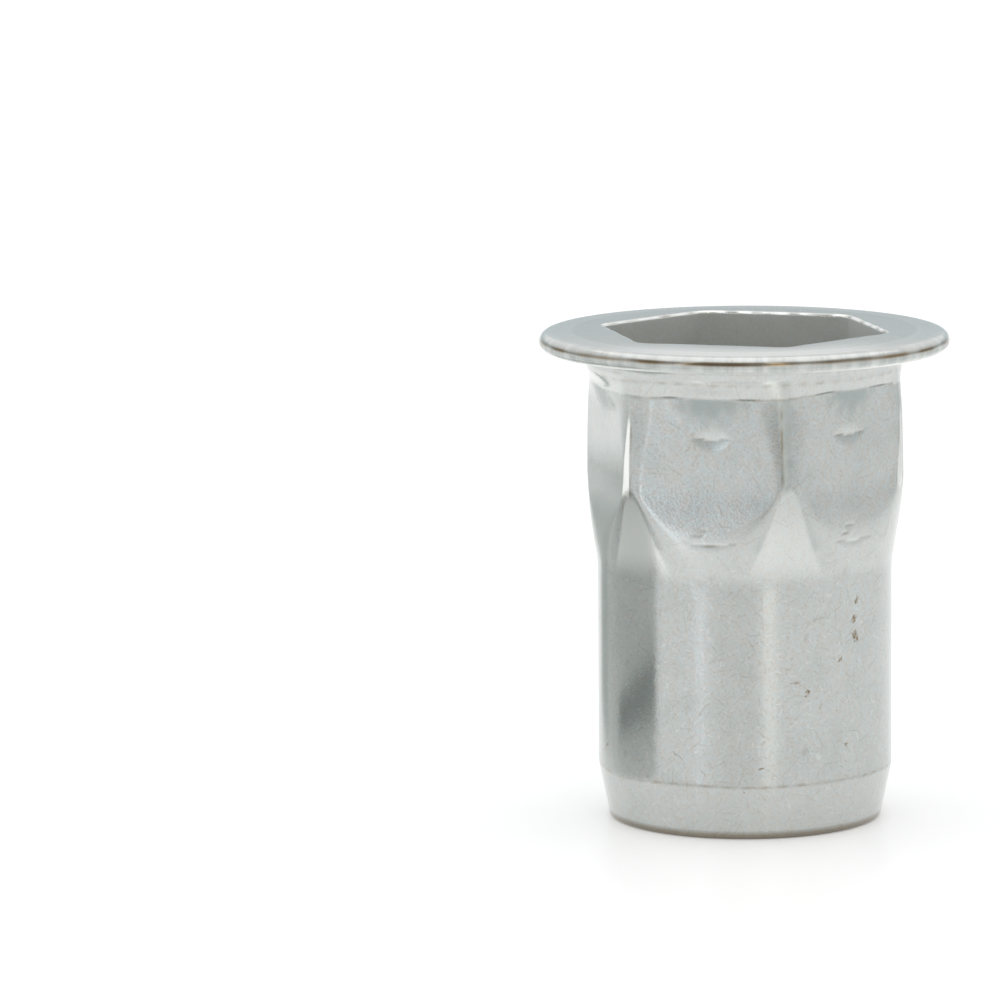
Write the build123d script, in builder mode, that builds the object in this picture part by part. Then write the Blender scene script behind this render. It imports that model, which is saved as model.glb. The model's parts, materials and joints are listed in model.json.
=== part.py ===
"""Half-hexagon blind rivet nut, M8, cold-formed from one piece of steel.

The nut stands on its open lower end. The origin is the centre of that end face,
+Z runs along the thread up to the flange, and two hexagon corners lie on the X axis.
"""
import os
from math import cos, radians, tan

from build123d import *

# Driving dimensions, in millimetres and degrees, from the foot upwards
foot_diameter = 10.15  # small end of the lead-in taper
foot_height = 2.05
foot_edge_radius = 0.2

barrel_diameter = 11.0  # round body, enters an 11 mm hole
barrel_height = 7.45

hex_width = 10.76  # across flats
hex_corner_radius = 1.0
hex_zone_height = 7.0  # from the top of the round barrel to the collar
flare_angle = 8.3  # half angle of the cone that the corners run out on
flat_start = 1.15  # height above the barrel of the ridge that the flats end at
flat_run_out_slope = 10.0  # from the axis, where the flats rise to the flare
core_inset = 0.1  # how far the round core lies behind the flats

collar_diameter = 11.76
collar_height = 1.15
collar_underside_slope = 35.0  # from the axis, down to the flats
corner_overrun = 0.1  # how far the corners' upper chamfer climbs the collar
corner_chamfer_slope = 45.0  # from the axis
neck_radius = 0.45

flange_diameter = 15.3
flange_thickness = 0.74
crown_width = 0.85  # outer ring of the flange face, which falls towards the rim
crown_drop = 0.06

# Socket: the same hexagon one wall further in, and the round bore below it
hex_wall = 0.62
socket_corner_radius = 0.35
socket_edge_break = 0.12
socket_depth = 7.7  # to where the last of the hexagon has become round
socket_flare_angle = 11.2
barrel_wall = 0.78
round_bore_height = 0.4
shoulder_height = 1.2  # cone from the round bore down to the thread's mouth
thread_mouth_diameter = 7.3
thread_lead_height = 0.8

# Thread M8 x 1.25: the solid has the plain bore that its crests lie on
thread_diameter = 8.0
thread_pitch = 1.25
countersink_diameter = 7.8

# Heights of the outside, measured up from the foot
barrel_top = foot_height + barrel_height
flat_bottom = barrel_top + flat_start
hex_top = barrel_top + hex_zone_height
corner_top = hex_top + corner_overrun
flange_underside = hex_top + collar_height
flange_face = flange_underside + flange_thickness
crown_bottom = flange_face - crown_drop

# Heights of the inside, measured down from the flange's face
socket_floor = flange_face - socket_depth
shoulder_top = socket_floor - round_bore_height
thread_mouth = shoulder_top - shoulder_height
thread_top = thread_mouth - thread_lead_height

# Radii outside
foot_radius = foot_diameter / 2
barrel_radius = barrel_diameter / 2
flat_radius = hex_width / 2
core_radius = flat_radius - core_inset
collar_radius = collar_diameter / 2
flange_radius = flange_diameter / 2
rim_radius = (crown_bottom - flange_underside) / 2
rim_centre_radius = flange_radius - rim_radius
crown_inner_radius = rim_centre_radius - crown_width

# Radii inside; a metric thread's crests stand 5/8 of its sharp height in from its diameter
socket_flat_radius = flat_radius - hex_wall
bore_radius = barrel_radius - barrel_wall
thread_mouth_radius = thread_mouth_diameter / 2
sharp_thread_height = cos(radians(30)) * thread_pitch
thread_bore_radius = thread_diameter / 2 - 5 / 8 * sharp_thread_height
countersink_radius = countersink_diameter / 2
countersink_depth = countersink_radius - thread_bore_radius

# Cones across the hexagons' corners, each carried on well past the corners' reach
flare_slope = tan(radians(flare_angle))
run_out_slope = tan(radians(flat_run_out_slope))
underside_slope = tan(radians(collar_underside_slope))
chamfer_slope = tan(radians(corner_chamfer_slope))
socket_flare_slope = tan(radians(socket_flare_angle))
chamfer_reach = 1.0
chamfer_bottom = corner_top - chamfer_reach
chamfer_bottom_radius = collar_radius + chamfer_reach * chamfer_slope
flare_top_radius = barrel_radius + (chamfer_bottom - barrel_top) * flare_slope
socket_mouth_radius = bore_radius + socket_depth * socket_flare_slope

# The round core comes out through the flats at both of their ends
flat_bottom_radius = barrel_radius + flat_start * flare_slope
waist_bottom = flat_bottom + (flat_bottom_radius - core_radius) / run_out_slope
waist_top = hex_top - (collar_radius - core_radius) / underside_slope


def rounded_hexagon(apothem, corner_radius):
    """Draw a hexagon in the open sketch, a corner on +X, with its corners rounded."""
    outline = RegularPolygon(apothem, 6, major_radius=False)
    fillet(outline.vertices(), corner_radius)


# Upper body: a hexagon whose corners run out on the flare below and a chamfer above
with BuildPart() as hexagon:
    with BuildSketch(Plane.XY.offset(flat_bottom)):
        rounded_hexagon(flat_radius, hex_corner_radius)
    extrude(amount=corner_top - flat_bottom)
    with BuildSketch(Plane.XZ):
        with BuildLine():
            Polyline(
                (0, barrel_top),
                (barrel_radius, barrel_top),
                (flare_top_radius, chamfer_bottom),
                (chamfer_bottom_radius, chamfer_bottom),
                (collar_radius, corner_top),
                (0, corner_top),
                close=True,
            )
        make_face()
    revolve(axis=Axis.Z, mode=Mode.INTERSECT)

# Socket: the inner hexagon, its corners closing in on a cone down to the round bore
with BuildPart() as socket:
    with BuildSketch(Plane.XY.offset(socket_floor)):
        rounded_hexagon(socket_flat_radius, socket_corner_radius)
    extrude(amount=socket_depth)
    with BuildSketch(Plane.XZ):
        with BuildLine():
            Polyline(
                (0, socket_floor),
                (bore_radius, socket_floor),
                (socket_mouth_radius, flange_face),
                (0, flange_face),
                close=True,
            )
        make_face()
    revolve(axis=Axis.Z, mode=Mode.INTERSECT)

with BuildPart() as rivet_nut:
    # Everything round outside: foot, barrel, flare, core, collar, neck and flange
    with BuildSketch(Plane.XZ) as outside:
        with BuildLine():
            Polyline(
                (0, flange_face),
                (0, 0),
                (foot_radius, 0),
                (barrel_radius, foot_height),
                (barrel_radius, barrel_top),
                (flat_bottom_radius, flat_bottom),
                (core_radius, waist_bottom),
                (core_radius, waist_top),
                (collar_radius, hex_top),
                (collar_radius, flange_underside),
                (rim_centre_radius, flange_underside),
            )
            ThreePointArc(
                (rim_centre_radius, flange_underside),
                (flange_radius, flange_underside + rim_radius),
                (rim_centre_radius, crown_bottom),
            )
            Polyline(
                (rim_centre_radius, crown_bottom),
                (crown_inner_radius, flange_face),
                (0, flange_face),
            )
        make_face()
        foot_edge = outside.vertices().sort_by_distance((foot_radius, 0))[0]
        fillet(foot_edge, foot_edge_radius)
        neck = outside.vertices().sort_by_distance((collar_radius, flange_underside))[0]
        fillet(neck, neck_radius)
    revolve(axis=Axis.Z)

    # The hexagon around the core, and the socket with its edge broken
    add(hexagon.part)
    add(socket.part, mode=Mode.SUBTRACT)
    face = rivet_nut.faces().filter_by(Axis.Z).sort_by(Axis.Z)[-1]
    chamfer(face.inner_wires()[0].edges(), socket_edge_break)

    # Round bore, shoulder, lead-in, thread bore and the countersink at the foot
    with BuildSketch(Plane.XZ):
        with BuildLine():
            Polyline(
                (0, 0),
                (countersink_radius, 0),
                (thread_bore_radius, countersink_depth),
                (thread_bore_radius, thread_top),
                (thread_mouth_radius, thread_mouth),
                (bore_radius, shoulder_top),
                (bore_radius, socket_floor),
                (0, socket_floor),
                close=True,
            )
        make_face()
    revolve(axis=Axis.Z, mode=Mode.SUBTRACT)

rivet_nut.part.label = "rivet_nut"
os.makedirs("parts", exist_ok=True)
export_step(rivet_nut.part, "parts/rivet_nut.step")
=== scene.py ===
"""Half-hexagon blind rivet nut, M8, cold-formed in one piece and plated in bright zinc.

The whole skin of the nut is one closed surface: a profile carried round the thread's axis,
whose radius follows the azimuth where the body is hexagonal and where the thread runs.
The file is laid out as an add-on and is run as a script.

Lengths are metres and angles radians. The origin is the centre of the open end, +Z runs up
the thread to the flange, and a corner of the hexagon lies on +X.
"""
import json
from math import cos, pi, radians, sin, tan
from types import SimpleNamespace

import bpy
import numpy as np
from mathutils import Matrix, Vector


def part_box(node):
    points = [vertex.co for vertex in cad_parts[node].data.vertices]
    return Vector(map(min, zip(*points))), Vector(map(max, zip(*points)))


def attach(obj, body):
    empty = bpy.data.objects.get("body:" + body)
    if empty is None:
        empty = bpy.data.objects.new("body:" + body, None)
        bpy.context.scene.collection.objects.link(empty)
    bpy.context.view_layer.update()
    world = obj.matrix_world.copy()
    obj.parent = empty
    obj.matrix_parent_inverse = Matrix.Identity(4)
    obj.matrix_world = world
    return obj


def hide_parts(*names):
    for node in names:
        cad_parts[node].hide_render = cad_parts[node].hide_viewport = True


bl_info = {
    "name": "Half-hexagon rivet nut",
    "version": (1, 0, 0),
    "blender": (4, 5, 0),
    "location": "View3D > Sidebar > Rivet nut",
    "description": "Builds a zinc-plated rivet nut on its packed solid, with a studio",
    "category": "Mesh",
}

MM = 0.001

# Columns of points around the outside, a multiple of 12; the inside has half as many
COLUMNS = 432

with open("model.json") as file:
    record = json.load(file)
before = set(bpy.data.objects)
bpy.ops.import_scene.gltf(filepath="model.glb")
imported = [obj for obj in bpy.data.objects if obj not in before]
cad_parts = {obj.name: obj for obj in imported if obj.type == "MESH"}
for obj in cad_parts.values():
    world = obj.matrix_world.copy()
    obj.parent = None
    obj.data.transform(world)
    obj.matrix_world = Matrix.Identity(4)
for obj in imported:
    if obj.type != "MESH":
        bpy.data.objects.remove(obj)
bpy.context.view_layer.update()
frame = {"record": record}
CAD_LOW, CAD_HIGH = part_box("rivet_nut")
MOUNTS = {mount["name"]: mount for mount in frame["record"]["mounts"]}


# ---------------------------------------------------------------------------- properties


def linear(hex_colour):
    """Turn an sRGB hex colour into the linear RGBA that Blender's sockets take."""
    srgb = np.array([int(hex_colour[i : i + 2], 16) for i in (1, 3, 5)]) / 255
    rgb = np.where(srgb <= 0.04045, srgb / 12.92, ((srgb + 0.055) / 1.055) ** 2.4)
    return (*rgb.tolist(), 1.0)


def length(name, description, millimetres):
    """Make a property that holds a length."""
    return bpy.props.FloatProperty(
        name=name, description=description, default=millimetres * MM, unit="LENGTH", precision=5
    )


def angle(name, description, degrees):
    """Make a property that holds an angle."""
    return bpy.props.FloatProperty(
        name=name, description=description, default=radians(degrees), subtype="ANGLE"
    )


def colour(name, description, hex_colour):
    """Make a property that holds a colour."""
    return bpy.props.FloatVectorProperty(
        name=name,
        description=description,
        default=linear(hex_colour),
        subtype="COLOR",
        size=4,
        min=0.0,
        max=1.0,
    )


def share(name, description, value):
    """Make a property that holds a share from nought to one."""
    return bpy.props.FloatProperty(
        name=name, description=description, default=value, subtype="FACTOR", min=0.0, max=1.0
    )


class NutSizes(bpy.types.PropertyGroup):
    """Sizes of the nut, as its drawing gives them, from the foot upwards."""

    foot_diameter: length("Foot", "Small end of the lead-in taper", 10.15)
    foot_height: length("Foot height", "Height of the lead-in taper", 2.05)
    foot_edge_radius: length("Foot edge", "Rounding of the edge that it stands on", 0.2)
    barrel_diameter: length(
        "Barrel", "Round body, enters its hole", 2 * MOUNTS["shank"]["dims"]["r_mm"]
    )
    barrel_height: length(
        "Barrel height", "Height of the round body", MOUNTS["shank"]["dims"]["length_mm"]
    )
    hex_width: length("Hexagon", "Width across the flats", 10.76)
    hex_corner_radius: length("Hexagon corner", "Rounding of the hexagon's corners", 1.0)
    hex_height: length("Hexagon height", "From the round barrel up to the collar", 7.0)
    flare_angle: angle("Flare", "Half angle of the cone that the corners run out on", 8.3)
    flat_start: length("Flat start", "Height above the barrel at which the flats end", 1.15)
    flat_step_angle: angle("Flat step", "Slope from the flats out to the flare", 7.0)
    collar_diameter: length("Collar", "Round neck under the flange", 11.76)
    collar_height: length("Collar height", "From the hexagon up to the flange", 1.15)
    neck_radius: length("Neck", "Fillet under the flange", 0.45)
    flange_diameter: length(
        "Flange", "Outer diameter", 2 * min(-CAD_LOW.x, CAD_HIGH.x) / MM
    )
    flange_thickness: length("Flange thickness", "Height of the flange", 0.74)
    crown_width: length("Crown width", "Outer ring of the face, which falls away", 0.85)
    crown_drop: length("Crown drop", "How far the crown falls to the rim", 0.09)
    level_face: length("Level face", "Radius up to which the face is level", 4.9)
    hex_wall: length("Hexagon wall", "From the flats in to the socket", 0.62)
    socket_corner_radius: length("Socket corner", "Rounding of the socket's corners", 0.8)
    edge_break: length("Edge break", "Rounding of the socket's mouth", 0.12)
    socket_depth: length("Socket depth", "To where the hexagon has become round", 7.7)
    socket_flare_angle: angle("Socket flare", "Cone that the inner corners close on", 11.2)
    barrel_wall: length("Barrel wall", "From the barrel in to the round bore", 0.78)
    round_bore_height: length("Bore height", "Round bore below the socket", 0.4)
    shoulder_height: length("Shoulder height", "Cone down to the thread's mouth", 1.2)
    mouth_diameter: length("Thread mouth", "Wide end of the thread's lead-in", 7.3)
    lead_height: length("Lead height", "Height of the thread's lead-in", 0.8)
    thread_diameter: length("Thread", "Nominal diameter of the thread", 8.0)
    thread_pitch: length("Pitch", "Rise of the thread in one turn", 1.25)
    countersink_diameter: length("Countersink", "Mouth of the thread at the foot", 7.8)


class NutFinish(bpy.types.PropertyGroup):
    """Finish of the nut: its plating, the marks of forming and handling, and the shade and
    highlights painted into its colour.
    """

    zinc: colour("Zinc", "Bright zinc where it is clean", "#b5bbbb")
    warm_zinc: colour("Warm zinc", "Zinc with a trace of yellow in its film", "#b8b6b2")
    # This colour also paints shade in the die's bowls and below its creases, about the corners, on
    # the ridge under the flats and on the rim
    matt_and_shade_zinc: colour("Dull zinc", "Zinc pressed matt by the die", "#97a1a0")
    # This colour also paints highlights on corners, flare, barrel, foot, collar, neck, rim, face
    # and socket
    burnished_and_highlight: colour("Burnished zinc", "Zinc rubbed bright on edges", "#f2f3f0")
    # This colour also paints brownish shade under the collar's edge and under the socket's mouth,
    # and a dark reflection beside the corners and along the rim
    soil_and_shade: colour("Soil", "Brownish film left in creases and dings", "#7c6a4e")
    roughness: share("Roughness", "Roughness of the tumbled, plated surface", 0.2)
    rim_roughness: share("Rim roughness", "Roughness where the rim is rubbed bright", 0.18)
    dull_roughness: share("Dull roughness", "Roughness where the die pressed it matt", 0.5)
    socket_roughness: share("Socket roughness", "Roughness of the punched socket", 1.0)
    grain: length("Grain", "Size of the plating's grain", 0.09)
    scratch: length("Scratch", "Length of the hair scratches", 0.3)
    streak: length("Streak", "Spacing of the streaks that the rim is rubbed in", 0.4)


class Studio(bpy.types.PropertyGroup):
    """Floor, light and camera."""

    floor: colour("Floor", "Seamless white floor", "#fafafa")
    surround: colour("Surround", "White walls that the metal mirrors", "#f3f4f4")
    horizon: colour("Horizon", "The walls' lower part", "#c9d3d6")
    dark_room: colour("Dark room", "Unlit room over the camera", "#b1ada6")
    dim_room: colour("Dim room", "Weakly lit room at both sides of it", "#b5b3ae")
    door: colour("Door", "Half-lit room behind the camera, down to the floor", "#a6a6a4")
    lift: share("Lift", "Light added to the floor and mirrored in the metal", 0.22)
    view_azimuth: angle("View azimuth", "Direction of the camera from the axis", -73.8)
    view_elevation: angle("View elevation", "How far the camera looks down", 8.9)
    view_roll: angle("View roll", "Turn of the camera about its own axis", -0.43)
    view_distance: length("View distance", "From the aim to the camera", 258.0)
    aim_height: length("Aim height", "Height that the camera aims at", 11.98)
    aim_side: length("Aim side", "How far left of the axis the camera aims", 9.14)
    lens: bpy.props.FloatProperty(
        name="Lens",
        description="Focal length on a 36 mm sensor",
        default=248.4,
        subtype="DISTANCE_CAMERA",
    )


# ------------------------------------------------------------------------------ drawing


def drawn(sizes):
    """Work out the heights, radii and slopes of the nut from its sizes."""
    n = SimpleNamespace()
    # Heights of the outside, measured up from the foot
    n.foot_height = sizes.foot_height
    n.barrel_top = n.foot_height + sizes.barrel_height
    n.flat_bottom = n.barrel_top + sizes.flat_start
    n.hex_top = n.barrel_top + sizes.hex_height
    n.underside = n.hex_top + sizes.collar_height
    n.face = n.underside + sizes.flange_thickness
    n.crown_bottom = n.face - sizes.crown_drop
    # Heights of the inside, measured down from the flange's face
    n.socket_floor = n.face - sizes.socket_depth
    n.shoulder_top = n.socket_floor - sizes.round_bore_height
    n.thread_mouth = n.shoulder_top - sizes.shoulder_height
    n.thread_top = n.thread_mouth - sizes.lead_height
    # Radii outside
    n.foot_radius = sizes.foot_diameter / 2
    n.foot_edge = sizes.foot_edge_radius
    n.barrel_radius = sizes.barrel_diameter / 2
    n.flat_radius = sizes.hex_width / 2
    n.hex_corner = sizes.hex_corner_radius
    n.collar_radius = sizes.collar_diameter / 2
    n.neck = sizes.neck_radius
    n.flange_radius = sizes.flange_diameter / 2
    n.rim = (n.crown_bottom - n.underside) / 2
    n.rim_centre = n.flange_radius - n.rim
    n.crown_inner = n.rim_centre - sizes.crown_width
    n.level_face = sizes.level_face
    # Radii inside; a metric thread's crests stand 5/8 of its sharp height in
    n.socket_flat = n.flat_radius - sizes.hex_wall
    n.socket_corner = sizes.socket_corner_radius
    n.edge_break = sizes.edge_break
    n.bore_radius = n.barrel_radius - sizes.barrel_wall
    n.mouth_radius = sizes.mouth_diameter / 2
    n.pitch = sizes.thread_pitch
    n.thread_root = sizes.thread_diameter / 2
    n.thread_crest = n.thread_root - 5 / 8 * cos(radians(30)) * n.pitch
    n.countersink = sizes.countersink_diameter / 2
    # Slopes, as radius gained for each unit of height
    n.foot_slope = (n.barrel_radius - n.foot_radius) / n.foot_height
    n.flare = tan(sizes.flare_angle)
    n.socket_flare = tan(sizes.socket_flare_angle)
    n.flat_step = tan(sizes.flat_step_angle)
    return n


def round_min(a, b, blend):
    """The smaller of a and b, with the corner between them rounded: where they differ by
    less than blend, a parabola that touches both takes their place."""
    share = np.clip(0.5 + (b - a) / (2 * blend), 0, 1)
    return b + (a - b) * share - blend * share * (1 - share)


def round_max(a, b, blend):
    """The larger of a and b, with the corner between them rounded."""
    return -round_min(-a, -b, blend)


def ramp(x, start, end):
    """Nought before start, one after end, and the smooth cubic 3t^2 - 2t^3 between."""
    t = np.clip((x - start) / (end - start), 0, 1)
    return t * t * (3 - 2 * t)


def hexagon(azimuth, apothem, corner):
    """Radius of a hexagon at each azimuth, a corner on +X: the flats are apothem divided
    by the cosine of the angle from their middle, and each corner is a circle of the given
    radius that touches the two flats beside it."""
    turn = np.abs((azimuth + pi / 6) % (pi / 3) - pi / 6)
    centre = (apothem - corner) / cos(pi / 6)
    reach = np.arctan2(corner * sin(pi / 6), centre + corner * cos(pi / 6))
    arc = centre * np.cos(turn) + np.sqrt(
        np.maximum(corner**2 - (centre * np.sin(turn)) ** 2, 0)
    )
    return np.where(turn < reach, arc, apothem / np.cos(pi / 6 - turn))


def ripple(azimuth, height, seed, size, wavelength, waves=9):
    """Gentle unevenness: the mean of plane waves in azimuth and height, each with a whole
    number of waves round the nut and a random phase, so that it closes on itself."""
    rng = np.random.default_rng(seed)
    total = 0
    for _ in range(waves):
        heading = rng.uniform(0, pi)
        round_count = round(2 * pi * size / wavelength * cos(heading))
        climb = 2 * pi / wavelength * sin(heading)
        total = total + np.sin(round_count * azimuth + climb * height + rng.uniform(0, 2 * pi))
    return total / np.sqrt(waves)


# -------------------------------------------------------------------------- the outside

# Marks that the forming die leaves across the middle of each flat, in millimetres: height
# of the crease, its place along the flat, half its length, reach below and above, and depth
DIE_MARKS = (
    (14.95, 0.0, 0.86, 0.46, 0.55, 0.03),
    (11.6, -0.1, 0.42, 0.16, 0.12, 0.006),
    (11.35, -0.5, 0.3, 0.12, 0.1, 0.004),
    (11.05, 0.1, 0.95, 0.3, 0.14, 0.013),
)

# The six flats, from the one past +X: how much higher the collar's edge lies over each, in
# millimetres, and how clearly the die's marks, their painted shade and highlight show. Where
# they hardly show, the collar runs out smoothly and the upper part of the flat gets a painted
# highlight.
EDGE_RISE = np.array((0.05, -0.08, 0.06, -0.03, 0.0, 0.15))
MARKED = np.array((0.8, 1.0, 0.9, 0.1, 1.0, 1.1))

# The six corners, from the one on +X: how much steeper the flare is under each, how dark the
# painted shade and dark reflection along it are, how bright the painted highlight on it is,
# how bright the painted highlight on its flare is, and how much rounder it is under the
# collar, in millimetres
FLARE_GAIN = np.array((1.1, 1.0, 1.14, 1.03, 1.21, 1.04))
CORNER_SHADE = np.array((0.3, 0.5, 0.2, 0.6, 0.0, 0.65))
CORNER_HIGHLIGHT = np.array((0.5, 0.0, 0.7, 0.2, 1.0, 0.0))
FLARE_HIGHLIGHT = np.array((0.0, 0.15, 0.25, 0.1, 0.45, 0.16))
ROUNDED = np.array((0.4, 0.9, 0.7, 0.4, 0.8, 1.05))

# Azimuth of the side of the flange's face that gets a painted highlight, the camera's side
LIT_SIDE = radians(-74)

# Value in place of the soil and shade mark that says that a point lies inside the nut
INSIDE = -1.0

# Random seeds of the ripples
BARREL_SWAY, BULGE, SOCKET_DRAG, PATCHES, RIM_PATCHES = 3, 5, 11, 13, 17
SOCKET_NICKS, WORN_EDGE, COLLAR_SWAY = 21, 23, 31


def across_flat(n, azimuth):
    """Number of the flat at each azimuth, and the distance along it from its middle."""
    flat = np.floor(azimuth / (pi / 3)).astype(int) % 6
    return flat, n.flat_radius * np.tan(azimuth % (pi / 3) - pi / 6)


def past_corner(n, azimuth):
    """Number of the nearest corner at each azimuth, and the distance past it."""
    corner = np.round(azimuth / (pi / 3)).astype(int)
    return corner % 6, n.barrel_radius * (azimuth - corner * pi / 3)


def between(x, rise, full, fade, end):
    """One from full to fade, and nought before rise and after end, all in millimetres."""
    return ramp(x, rise * MM, full * MM) * ramp(x, end * MM, fade * MM)


def line(x, place, width):
    """A bell curve of the given half width: exp(-((x - place) / width)^2)."""
    return np.exp(-(((x - place) / width) ** 2))


def die_marks(n, azimuth, height):
    """Depth pressed into the flats, a brownish line along the creases, and below them painted
    shade, also matt, and above them a painted highlight: for each mark a tent in height whose
    legs shorten as the parabola 1 - (offset / half length)^2 falls off along the flat."""
    rng = np.random.default_rng(8)
    flat, offset = across_flat(n, azimuth)
    clear = MARKED[flat]
    depth, soil_and_shade, matt_and_shade, painted_highlight = (np.zeros(np.broadcast(azimuth, height).shape) for _ in range(4))
    for mark_height, place, half_length, below, above, deep in DIE_MARKS:
        shift = (place + rng.uniform(-0.14, 0.14, 6)[flat]) * MM
        rise = rng.uniform(-0.06, 0.06, 6)[flat] * MM
        stretch = rng.uniform(0.85, 1.2, 6)[flat]
        across = 1 - ((offset - shift) / (half_length * MM * stretch)) ** 2
        across = np.maximum(across, 1e-6)
        gap = height - (mark_height + 0.1 * (1 - across)) * MM - rise
        tent = np.maximum(1 - np.abs(gap) / (np.where(gap < 0, below, above) * MM * across), 0)
        depth = depth + clear * deep * MM * across * tent
        # A brownish line along the crease; below it painted shade, which is also matt, and above it
        # a painted highlight
        soil_and_shade = soil_and_shade + 0.45 * clear * np.sqrt(across) * line(gap, 0, 0.04 * MM)
        matt_and_shade = matt_and_shade + 0.5 * clear * np.sqrt(across) * tent * (gap < 0.03 * MM)
        painted_highlight = painted_highlight + 0.3 * clear * np.sqrt(across) * tent * (gap >= 0.03 * MM)
    return depth, soil_and_shade, matt_and_shade, painted_highlight


def collar_edge(n, azimuth):
    """Height of the collar's lower edge, how far the corner stands proud of the collar, and
    how far the bowl over the middle of each flat reaches, both as shares."""
    flat, offset = across_flat(n, azimuth)
    rounded = n.hex_corner + ROUNDED[past_corner(n, azimuth)[0]] * MM
    proud = hexagon(azimuth, n.flat_radius, rounded) - n.collar_radius
    corner = ramp(proud, -0.06 * MM, 0.06 * MM)
    bowl = ramp(np.abs(offset), 1.65 * MM, 0.5 * MM)
    bowl = np.maximum(bowl, (1 - MARKED[flat]) * (1 - corner))
    sway = 0.025 * MM * ripple(azimuth, 0 * azimuth, COLLAR_SWAY, n.collar_radius, 2.1 * MM)
    return n.hex_top + sway + EDGE_RISE[flat] * MM * (1 - corner), corner, bowl


def into_collar(n, azimuth, height):
    """How far the hexagon has passed into the collar: a sharp ledge at its edge, a soft rise
    across the corners, and in the bowls a smooth slope up to the ledge."""
    edge, corner, bowl = collar_edge(n, azimuth)
    ledge = ramp(
        height, edge - (0.12 + 1.0 * corner) * MM, edge + (0.06 + 0.55 * corner) * MM
    )
    return ledge + (1 - ledge) * bowl * ramp(height, edge - 0.95 * MM, edge)


def flare_radius(n, azimuth, height):
    """Radius of the flare: a cone, a little steeper under some corners than others, that
    starts a little above the barrel's top."""
    gain = np.interp(azimuth * 3 / pi, np.arange(7), np.append(FLARE_GAIN, FLARE_GAIN[0]))
    return n.barrel_radius + (height - n.barrel_top - 0.12 * MM) * n.flare * gain


def outside(n, azimuth, height):
    """Radius of the outside from the foot's edge to the neck. It is the barrel, carried up
    on the flare cone where the hexagon reaches that far, and else on the hexagon, whose
    corners grow rounder upwards and whose flats lean out to meet the flare below them. It
    passes into the collar above as into_collar says."""
    sway = ripple(azimuth, 0 * height, BARREL_SWAY, n.barrel_radius, 4.5 * MM)
    foot_top = n.foot_height + 0.035 * MM * sway
    taper = n.barrel_radius + (height - foot_top) * n.foot_slope
    flare = flare_radius(n, azimuth, height)
    flare_ridge = n.barrel_radius + (n.flat_bottom - n.barrel_top) * n.flare
    step = flare_ridge - (height - n.flat_bottom) * n.flat_step
    apothem = round_max(n.flat_radius, step, 0.06 * MM)
    rounded = ROUNDED[past_corner(n, azimuth)[0]] * MM * ramp(height, 13.3 * MM, 16.2 * MM)
    prism = hexagon(azimuth, apothem, n.hex_corner + rounded)
    bulge = ripple(azimuth, height, BULGE, n.barrel_radius, 2.6 * MM)
    prism = prism + 0.0016 * MM * bulge - die_marks(n, azimuth, height)[0]

    middle = (1 - np.cos(6 * azimuth)) / 2
    envelope = round_max(flare, n.barrel_radius, 0.05 * MM)
    body = round_min(prism, envelope, (0.03 + 0.24 * middle) * MM)

    flattened = middle * ramp(height, n.hex_top + 0.6 * MM, n.hex_top - 0.05 * MM)
    collar = n.collar_radius - 0.3 * MM * flattened
    body = body + (collar - body) * into_collar(n, azimuth, height)
    return round_min(body, taper, 0.02 * MM)


def collar_marks(n, azimuth, height, patchy):
    """Soil with painted shade and highlight about the collar: painted shade under its edge and a
    brownish line along its middle, painted shade in the bowls, which hang from the edge as
    half ellipses and are also matt, and a painted highlight on the collar and on the upper
    part of the flat that the die hardly marked."""
    flat, offset = across_flat(n, azimuth)
    edge, _, bowl = collar_edge(n, azimuth)
    sway = ripple(azimuth, 0 * height, BARREL_SWAY, n.barrel_radius, 4.5 * MM)
    # Painted shade under the collar's edge, and a brownish line along its middle
    soil_and_shade = 0.3 * (1 - bowl) ** 2 * line(height, edge - 0.04 * MM, 0.05 * MM)
    soil_and_shade = soil_and_shade + 0.25 * line(height - 0.03 * MM * sway, n.hex_top + 0.52 * MM, 0.06 * MM)
    # Painted shade in the bowls, which are also matt
    from_bowl = np.hypot(offset / (1.35 * MM), (edge - 0.15 * MM - height) / (0.95 * MM))
    in_bowl = ramp(from_bowl + 0.25 * (patchy - 0.65), 1.2, 0.3)
    matt_and_shade = 0.62 * in_bowl * ramp(height, edge + 0.03 * MM, edge - 0.12 * MM)
    # Painted highlight on the collar, and on the upper part of the flat that the die hardly marked
    painted_highlight = 0.25 * ramp(height, edge - 0.06 * MM, edge + 0.04 * MM)
    clean = (1 - MARKED[flat]) * ramp(height, 13.35 * MM, 13.55 * MM)
    painted_highlight = painted_highlight + 0.2 * clean * ramp(np.abs(offset), 2.7 * MM, 2.2 * MM)
    return soil_and_shade, matt_and_shade, painted_highlight


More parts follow.
